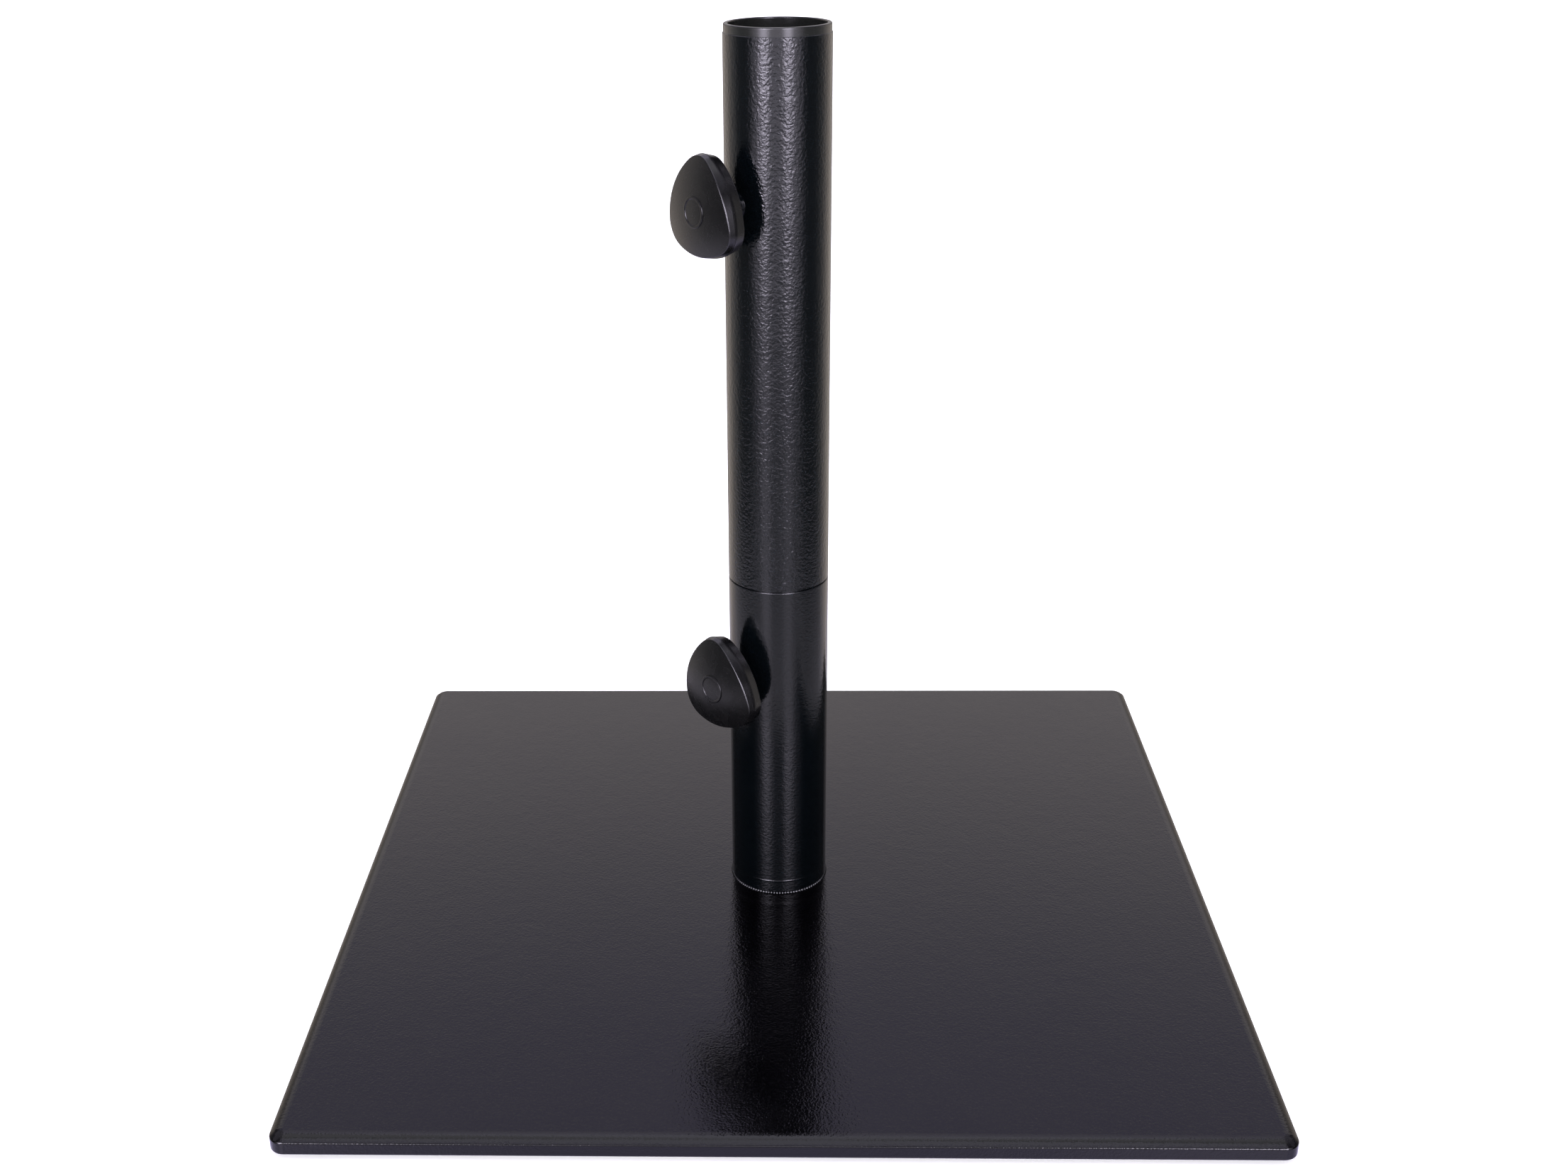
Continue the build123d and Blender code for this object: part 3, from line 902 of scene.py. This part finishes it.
# The lit floor starts below the horizon and is lightest close to the object.
floor_share = remap(sky, elevation, -20.0, -24.0)
near_share = remap(sky, elevation, -28.0, -36.0)
lit_floor = mix_colour(sky, near_share, FAR_FLOOR, NEAR_FLOOR)
lit_floor = mix_colour(sky, floor_share, BLACK, lit_floor)
around = vector_math(sky, "MAXIMUM", {0: wall_colour, 1: lit_floor})

# Two stretches of wall are in shade: the far ends, and the right side.
far_wall = both(remap(sky, spread, 132.0, 142.0), remap(sky, elevation, -6.5, -1.0))
right_wall = both(remap(sky, azimuth, 50.0, 70.0), remap(sky, azimuth, 122.0, 108.0))
dimming = math_node(
    sky, "ADD", both(far_wall, FAR_WALL_DIMMING), both(right_wall, RIGHT_WALL_DIMMING)
)
around = mix_colour(sky, dimming, around, BLACK)
surround = mix_colour(sky, behind, around, angle_ramp(elevation, 90.0, BACK_STOPS))


def lamp_light(sides, softness, strength, fade_in, fade_out):
    """How bright a lamp of the LAMPS table is, in each direction."""
    middle, half_width = (sides[0] + sides[1]) / 2, (sides[1] - sides[0]) / 2
    off = math_node(sky, "ABSOLUTE", math_node(sky, "SUBTRACT", azimuth, middle))
    across = remap(sky, off, half_width + softness, half_width - softness)
    foot = remap(sky, elevation, *fade_in)
    head = remap(sky, elevation, fade_out[1], fade_out[0])
    return both(both(across, both(foot, head)), strength)


light = lamp_light(*LAMPS[0])
for lamp in LAMPS[1:]:
    light = math_node(sky, "ADD", light, lamp_light(*lamp))
lamp_colour = vector_math(sky, "SCALE", {0: LAMP_COLOUR, 3: light})
total = vector_math(sky, "ADD", {0: surround, 1: lamp_colour})
background = sky.nodes["Background"]
sky.links.new(total, background.inputs["Color"])
background.inputs["Strength"].default_value = 1.0


# ---- Camera ------------------------------------------------------------------

scene.view_settings.view_transform = "Standard"

camera_data = bpy.data.cameras.new("camera")
camera_data.lens = 42.404
camera_data.sensor_width = 36.0
camera_data.shift_x = 0.03695
camera_data.clip_end = 200.0
camera = bpy.data.objects.new("camera", camera_data)
scene.collection.objects.link(camera)
camera.location = (-0.0015, -0.96679, 0.6028)
camera.rotation_euler = [math.radians(a) for a in (67.2251, 0.7208, 1.3727)]
scene.camera = camera
